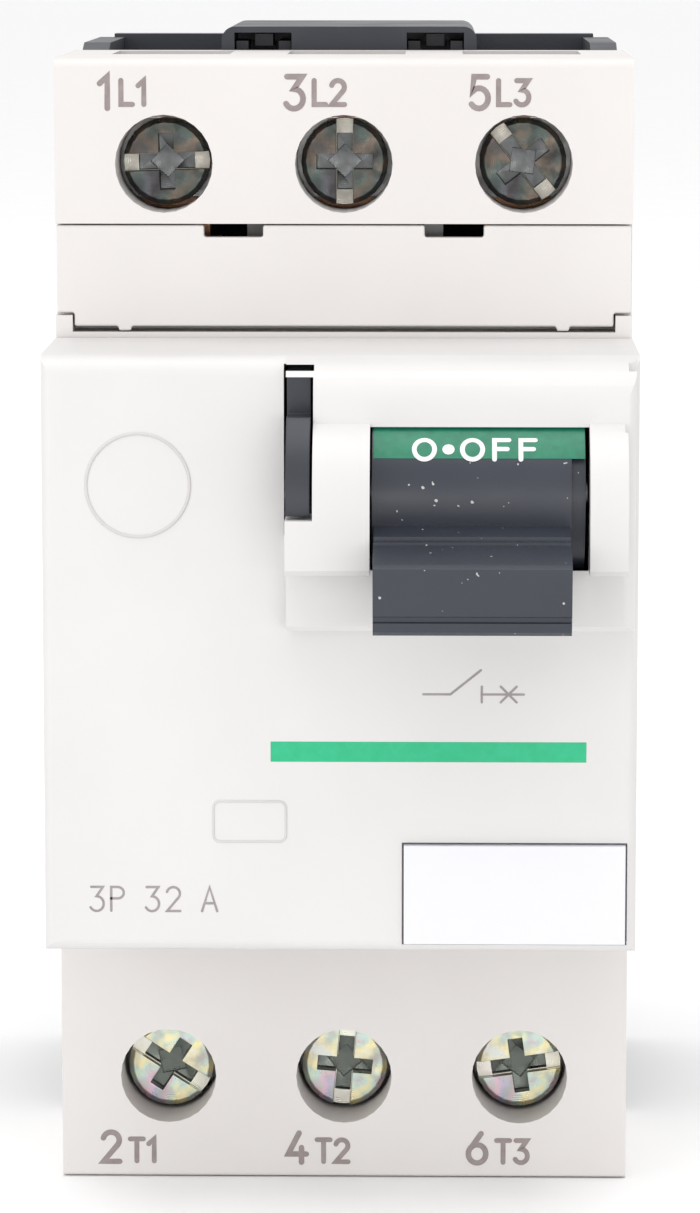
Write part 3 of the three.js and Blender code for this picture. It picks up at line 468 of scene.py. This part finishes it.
def ridge(name, outline, y, half, material):
    """A low half-round moulded ridge along a closed outline of (x, z) points."""
    work = bmesh.new()
    points = [Vector(point) for point in outline]
    loops = []
    for index, point in enumerate(points):
        along = (points[(index + 1) % len(points)] - points[index - 1]).normalized()
        across = Vector((along.y, -along.x))
        loop = []
        for step in range(5):
            turn = math.pi * step / 4
            side = point + across * half * math.cos(turn)
            loop.append(work.verts.new(Vector((side.x, y + 0.01 - half * math.sin(turn), side.y)) * MM))
        loops.append(loop)
    for index, loop in enumerate(loops):
        after = loops[(index + 1) % len(loops)]
        for step in range(4):
            work.faces.new((loop[step], loop[step + 1], after[step + 1], after[step])).smooth = True
    bmesh.ops.recalc_face_normals(work, faces=work.faces)
    if sum(face.normal.y for face in work.faces) > 0:
        bmesh.ops.reverse_faces(work, faces=work.faces)
    mesh = bpy.data.meshes.new(name)
    work.to_mesh(mesh)
    work.free()
    piece = add_object(name, mesh, material)
    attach(piece, "case")


def rounded_rectangle(left, right, bottom, top, radius):
    corners = ((right, top, 0), (left, top, 90), (left, bottom, 180), (right, bottom, 270))
    outline = []
    for x, z, start in corners:
        cx = x - radius if x == right else x + radius
        cz = z - radius if z == top else z + radius
        outline += arc(cx, cz, radius, radius, start, start + 90, 5)
    return outline


def moulded_outlines(finishes):
    # The ridges are drawn darker than the cover plastic: painted shade along them.
    ridge("ring_ridge", arc(-15.2, 13.0, 3.9, 3.9, 0, 360, 96)[:-1], COVER_Y, 0.13, finishes["ridge_painted_shade"])
    ridge("seal_ridge", rounded_rectangle(-9.6, -4.1, -14.2, -11.1, 0.5), COVER_Y, 0.1, finishes["ridge_painted_shade"])


def drum_band(finishes, name, angles, text, text_angle):
    """A green band round the drum, with white characters on it."""
    radius, left, right = DRUM_RADIUS, 2.55, 18.3
    work = bmesh.new()
    steps = 8
    rows = []
    for index in range(steps + 1):
        angle = angles[0] + (angles[1] - angles[0]) * index / steps
        place = on_rocker(radius)
        rows.append([work.verts.new(Vector(place((x, angle), 0.02)) * MM) for x in (left, right)])
    for one, two in zip(rows, rows[1:]):
        face = work.faces.new((one[0], one[1], two[1], two[0]))
        face.smooth = True
    mesh = bpy.data.meshes.new(name)
    work.to_mesh(mesh)
    work.free()
    band = add_object(name, mesh, finishes["band_green"])
    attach(band, "rocker")
    strokes = []
    x = 5.6
    per_mm = math.degrees(1 / radius)
    for character in text:
        width, lines = GLYPHS[character]
        height = 1.6
        for line in lines:
            drawn = [(x + 1.35 * px * height, pz * height) for px, pz in line]
            strokes.append((subdivided(drawn, 0.25), 0.42 if character == "." else 0.18))
        x += (1.35 * width + 0.55) * height
    wrap = on_rocker(radius + 0.02)
    place = lambda point, lift: wrap((point[0], text_angle + point[1] * per_mm), lift)
    facing = (0, -math.cos(math.radians(text_angle)), math.sin(math.radians(text_angle)))
    printed(name + "_words", strokes, place, finishes["white_ink"], "rocker", facing)


# ---------------------------------------------------------------- stage
def area_light(name, place, target, size, power, colour=(1, 1, 1)):
    data = bpy.data.lights.new(name, "AREA")
    data.shape = "RECTANGLE"
    data.size, data.size_y = size
    data.energy = power
    data.color = colour
    lamp = bpy.data.objects.new(name, data)
    lamp.location = place
    lamp.rotation_mode = "QUATERNION"
    lamp.rotation_quaternion = (Vector(target) - Vector(place)).to_track_quat("-Z", "Y")
    scene.collection.objects.link(lamp)
    return lamp


def make_stage(finishes):
    world = bpy.data.worlds.new("world")
    world.use_nodes = True
    world.node_tree.nodes["Background"].inputs["Color"].default_value = (1, 1, 1, 1)
    world.node_tree.nodes["Background"].inputs["Strength"].default_value = 1.0
    scene.world = world
    mesh = bpy.data.meshes.new("floor")
    edge, level = 6.0, -0.0446
    corners = [(-edge, -edge, level), (edge, -edge, level), (edge, edge, level), (-edge, edge, level)]
    mesh.from_pydata(corners, [], [(0, 1, 2, 3)])
    floor = add_object("floor", mesh, finishes["floor"])
    target = (0, -0.03, 0)
    lamps = [
        area_light("key_left", (-0.8, -0.85, 0.25), target, (0.6, 0.6), 2.2),
        area_light("low_front", (0.25, -1.1, 0.02), target, (0.9, 0.12), 1.4),
        area_light("top", (0, -0.3, 1.0), target, (0.9, 0.9), 4.5),
    ]


scene.view_settings.view_transform = "Standard"
make_camera()
finishes = make_finishes()
refine_nodes(finishes)
print_marks(finishes)
moulded_outlines(finishes)
drum_band(finishes, "off_band", (27, 50), "O.OFF", 26.5)
drum_band(finishes, "on_band", (62, 85), "I.ON", 64)
make_stage(finishes)
